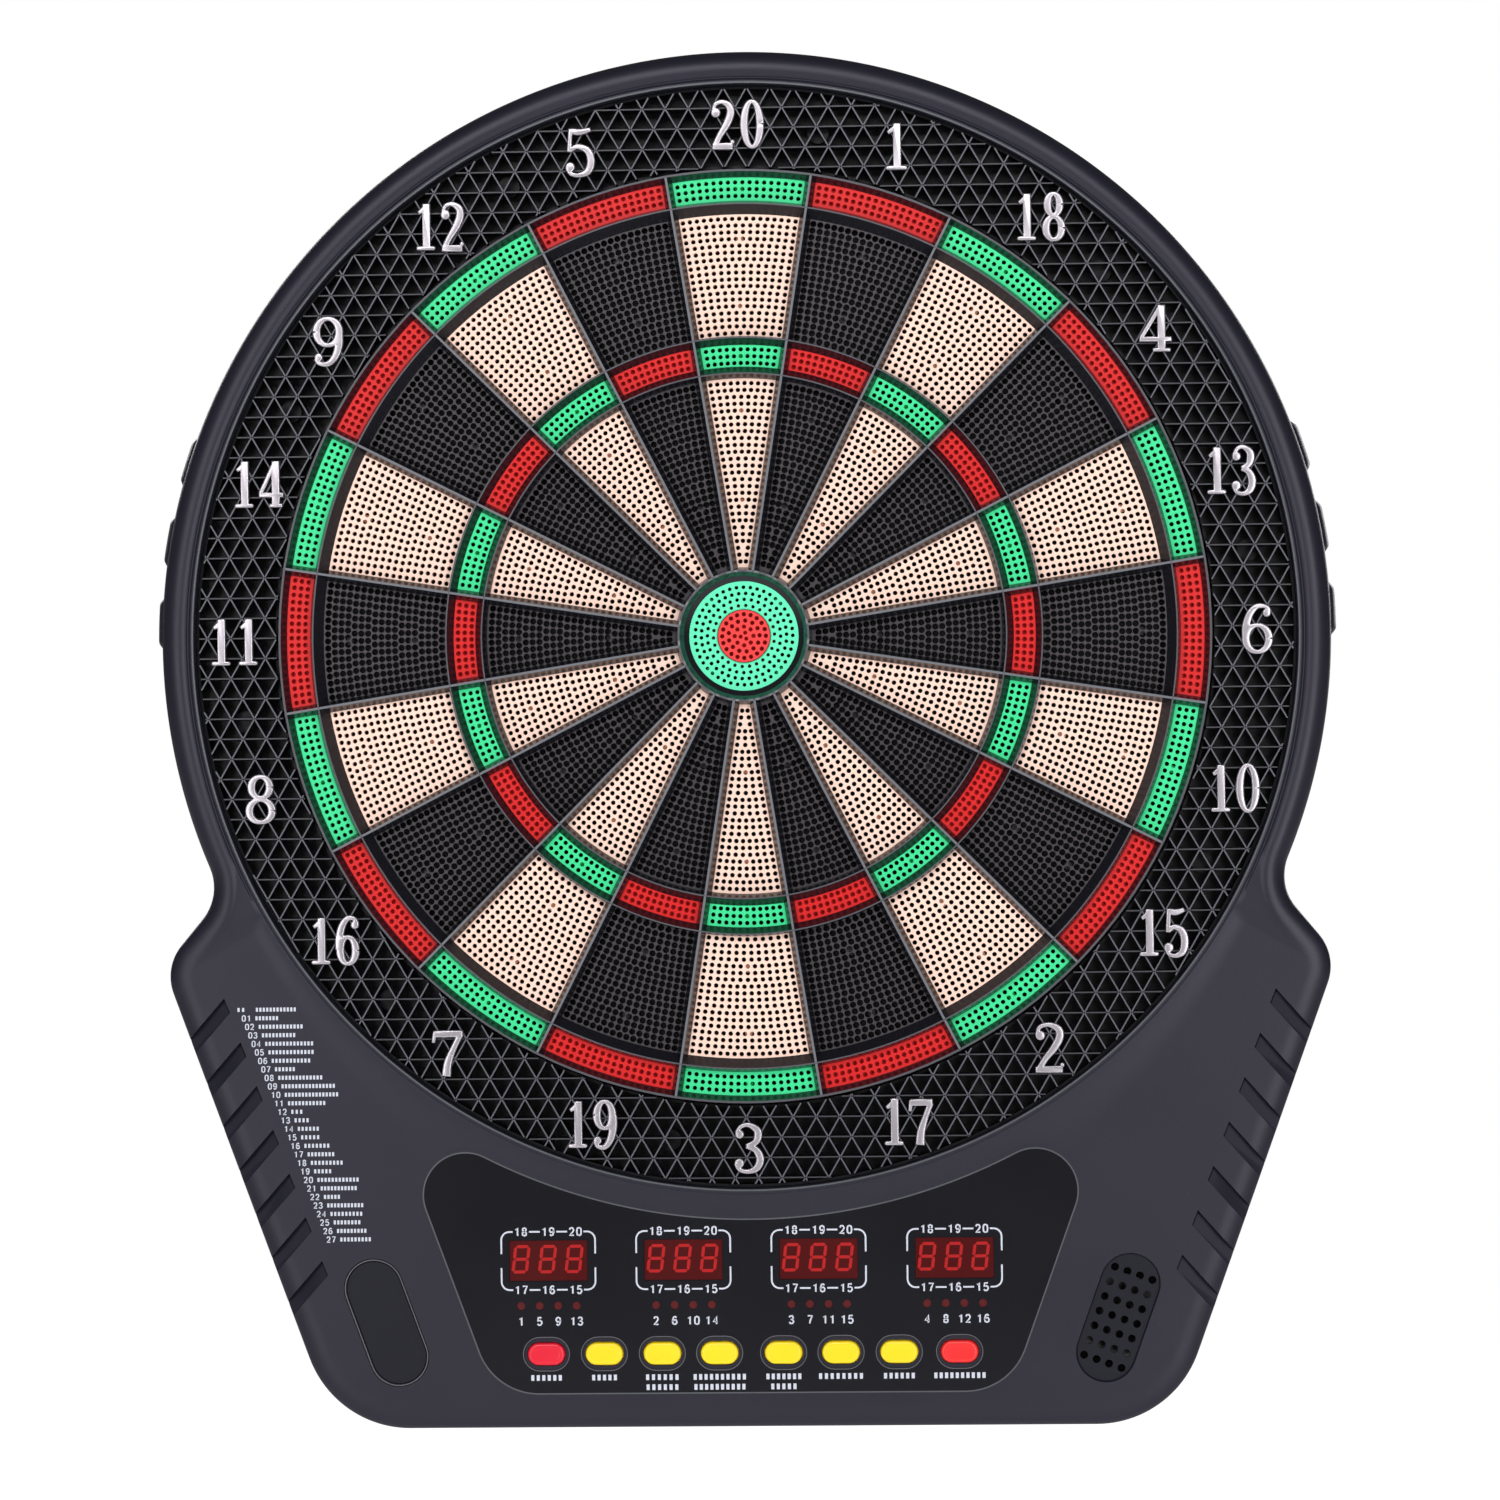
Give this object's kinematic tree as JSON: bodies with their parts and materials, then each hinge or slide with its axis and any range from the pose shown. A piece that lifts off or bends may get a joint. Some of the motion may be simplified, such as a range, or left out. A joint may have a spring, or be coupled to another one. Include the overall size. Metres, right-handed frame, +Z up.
{
  "type": "electronic dartboard",
  "caption": "Upright wall-hung electronic dartboard: round perforated target with raised web and numerals, and a wide foot with score windows, buttons and speaker grille.",
  "frame": {"origin": "on the wall plane (back face of the rear shell), straight behind the middle of the bull", "axes": "+Z up, +X to the right seen from the front, +Y into the wall; the playing face looks towards -Y"},
  "size_m": [0.4424, 0.028, 0.512],
  "materials": {
    "housing_plastic": "fine satin texture",
    "cover_plastic": "fine satin texture",
    "black_plastic": "satin",
    "spider_plastic": "semi gloss",
    "silver_paint": "satin hot-stamped silver",
    "cream_plastic": "satin",
    "black_segment": "satin",
    "green_plastic": "semi gloss",
    "red_plastic": "semi gloss",
    "clear_film": "gloss film",
    "foam": "open-cell foam",
    "grey_board": "matte",
    "panel_gloss": "high gloss",
    "circuit_board": "solder mask",
    "display_red": "smoked red window",
    "lamp_red": "dim red lens",
    "print_white": "screen print",
    "button_pink": "gloss",
    "button_red": "gloss",
    "button_yellow": "gloss",
    "switch_black": "satin",
    "steel": "zinc plated",
    "magnet": "dull black",
    "paper_cone": "pressed paper",
    "wire_red": "satin insulation"
  },
  "bodies": {
    "housing": {"front_housing": "housing_plastic", "rear_cover": "cover_plastic", "badge_plate": "cover_plastic", "catch_ring": "black_plastic", "spider": "spider_plastic", "numerals": "silver_paint", "membrane_switch": "clear_film", "foam_sheet": "foam", "backing_plate": "grey_board", "membrane_tail": "clear_film", "control_panel": "panel_gloss", "main_pcb": "circuit_board", "display_1": "display_red", "display_2": "display_red", "display_3": "display_red", "display_4": "display_red", "player_leds": "lamp_red", "button_switches": "switch_black", "speaker_frame": "steel", "speaker_cone": "paper_cone", "speaker_magnet": "magnet", "battery_contacts": "steel", "dc_jack": "switch_black", "housing_screws": "steel", "backing_screws": "steel", "pcb_screws": "steel", "wires": "wire_red"},
    "battery_door": {"battery_door": "cover_plastic"},
    "power_button": {"power_button": "button_pink"},
    "game_button": {"game_button": "button_yellow"},
    "option_button": {"option_button": "button_yellow"},
    "player_button": {"player_button": "button_yellow"},
    "double_button": {"double_button": "button_yellow"},
    "handicap_button": {"handicap_button": "button_yellow"},
    "sound_button": {"sound_button": "button_yellow"},
    "start_button": {"start_button": "button_red"},
    "bull_outer": {"bull_outer": "green_plastic"},
    "bull_inner": {"bull_inner": "red_plastic"},
    "bed_20": {"bed_20": "cream_plastic"},
    "bed_1": {"bed_1": "black_segment"},
    "bed_18": {"bed_18": "cream_plastic"},
    "bed_4": {"bed_4": "black_segment"},
    "bed_13": {"bed_13": "cream_plastic"},
    "bed_6": {"bed_6": "black_segment"},
    "bed_10": {"bed_10": "cream_plastic"},
    "bed_15": {"bed_15": "black_segment"},
    "bed_2": {"bed_2": "cream_plastic"},
    "bed_17": {"bed_17": "black_segment"},
    "bed_3": {"bed_3": "cream_plastic"},
    "bed_19": {"bed_19": "black_segment"},
    "bed_7": {"bed_7": "cream_plastic"},
    "bed_16": {"bed_16": "black_segment"},
    "bed_8": {"bed_8": "cream_plastic"},
    "bed_11": {"bed_11": "black_segment"},
    "bed_14": {"bed_14": "cream_plastic"},
    "bed_9": {"bed_9": "black_segment"},
    "bed_12": {"bed_12": "cream_plastic"},
    "bed_5": {"bed_5": "black_segment"}
  },
  "joints": [
    {"name": "power_button_press", "type": "slide", "parent": "housing", "child": "power_button", "axis": [0, 1, 0], "range_m": [0, 0.001], "stiffness_N_per_m": 600},
    {"name": "game_button_press", "type": "slide", "parent": "housing", "child": "game_button", "axis": [0, 1, 0], "range_m": [0, 0.001], "stiffness_N_per_m": 600},
    {"name": "option_button_press", "type": "slide", "parent": "housing", "child": "option_button", "axis": [0, 1, 0], "range_m": [0, 0.001], "stiffness_N_per_m": 600},
    {"name": "player_button_press", "type": "slide", "parent": "housing", "child": "player_button", "axis": [0, 1, 0], "range_m": [0, 0.001], "stiffness_N_per_m": 600},
    {"name": "double_button_press", "type": "slide", "parent": "housing", "child": "double_button", "axis": [0, 1, 0], "range_m": [0, 0.001], "stiffness_N_per_m": 600},
    {"name": "handicap_button_press", "type": "slide", "parent": "housing", "child": "handicap_button", "axis": [0, 1, 0], "range_m": [0, 0.001], "stiffness_N_per_m": 600},
    {"name": "sound_button_press", "type": "slide", "parent": "housing", "child": "sound_button", "axis": [0, 1, 0], "range_m": [0, 0.001], "stiffness_N_per_m": 600},
    {"name": "start_button_press", "type": "slide", "parent": "housing", "child": "start_button", "axis": [0, 1, 0], "range_m": [0, 0.001], "stiffness_N_per_m": 600},
    {"name": "bull_outer_press", "type": "slide", "parent": "housing", "child": "bull_outer", "axis": [0, 1, 0], "range_m": [0, 0.001], "stiffness_N_per_m": 500},
    {"name": "bull_inner_press", "type": "slide", "parent": "housing", "child": "bull_inner", "axis": [0, 1, 0], "range_m": [0, 0.001], "stiffness_N_per_m": 500},
    {"name": "bed_20_press", "type": "slide", "parent": "housing", "child": "bed_20", "axis": [0, 1, 0], "range_m": [0, 0.001], "stiffness_N_per_m": 500},
    {"name": "bed_1_press", "type": "slide", "parent": "housing", "child": "bed_1", "axis": [0, 1, 0], "range_m": [0, 0.001], "stiffness_N_per_m": 500},
    {"name": "bed_18_press", "type": "slide", "parent": "housing", "child": "bed_18", "axis": [0, 1, 0], "range_m": [0, 0.001], "stiffness_N_per_m": 500},
    {"name": "bed_4_press", "type": "slide", "parent": "housing", "child": "bed_4", "axis": [0, 1, 0], "range_m": [0, 0.001], "stiffness_N_per_m": 500},
    {"name": "bed_13_press", "type": "slide", "parent": "housing", "child": "bed_13", "axis": [0, 1, 0], "range_m": [0, 0.001], "stiffness_N_per_m": 500},
    {"name": "bed_6_press", "type": "slide", "parent": "housing", "child": "bed_6", "axis": [0, 1, 0], "range_m": [0, 0.001], "stiffness_N_per_m": 500},
    {"name": "bed_10_press", "type": "slide", "parent": "housing", "child": "bed_10", "axis": [0, 1, 0], "range_m": [0, 0.001], "stiffness_N_per_m": 500},
    {"name": "bed_15_press", "type": "slide", "parent": "housing", "child": "bed_15", "axis": [0, 1, 0], "range_m": [0, 0.001], "stiffness_N_per_m": 500},
    {"name": "bed_2_press", "type": "slide", "parent": "housing", "child": "bed_2", "axis": [0, 1, 0], "range_m": [0, 0.001], "stiffness_N_per_m": 500},
    {"name": "bed_17_press", "type": "slide", "parent": "housing", "child": "bed_17", "axis": [0, 1, 0], "range_m": [0, 0.001], "stiffness_N_per_m": 500},
    {"name": "bed_3_press", "type": "slide", "parent": "housing", "child": "bed_3", "axis": [0, 1, 0], "range_m": [0, 0.001], "stiffness_N_per_m": 500},
    {"name": "bed_19_press", "type": "slide", "parent": "housing", "child": "bed_19", "axis": [0, 1, 0], "range_m": [0, 0.001], "stiffness_N_per_m": 500},
    {"name": "bed_7_press", "type": "slide", "parent": "housing", "child": "bed_7", "axis": [0, 1, 0], "range_m": [0, 0.001], "stiffness_N_per_m": 500},
    {"name": "bed_16_press", "type": "slide", "parent": "housing", "child": "bed_16", "axis": [0, 1, 0], "range_m": [0, 0.001], "stiffness_N_per_m": 500},
    {"name": "bed_8_press", "type": "slide", "parent": "housing", "child": "bed_8", "axis": [0, 1, 0], "range_m": [0, 0.001], "stiffness_N_per_m": 500},
    {"name": "bed_11_press", "type": "slide", "parent": "housing", "child": "bed_11", "axis": [0, 1, 0], "range_m": [0, 0.001], "stiffness_N_per_m": 500},
    {"name": "bed_14_press", "type": "slide", "parent": "housing", "child": "bed_14", "axis": [0, 1, 0], "range_m": [0, 0.001], "stiffness_N_per_m": 500},
    {"name": "bed_9_press", "type": "slide", "parent": "housing", "child": "bed_9", "axis": [0, 1, 0], "range_m": [0, 0.001], "stiffness_N_per_m": 500},
    {"name": "bed_12_press", "type": "slide", "parent": "housing", "child": "bed_12", "axis": [0, 1, 0], "range_m": [0, 0.001], "stiffness_N_per_m": 500},
    {"name": "bed_5_press", "type": "slide", "parent": "housing", "child": "bed_5", "axis": [0, 1, 0], "range_m": [0, 0.001], "stiffness_N_per_m": 500},
    {"name": "battery_door_slide", "type": "slide", "parent": "housing", "child": "battery_door", "axis": [0, 1, 0], "range_m": [0, 0.02]}
  ]
}
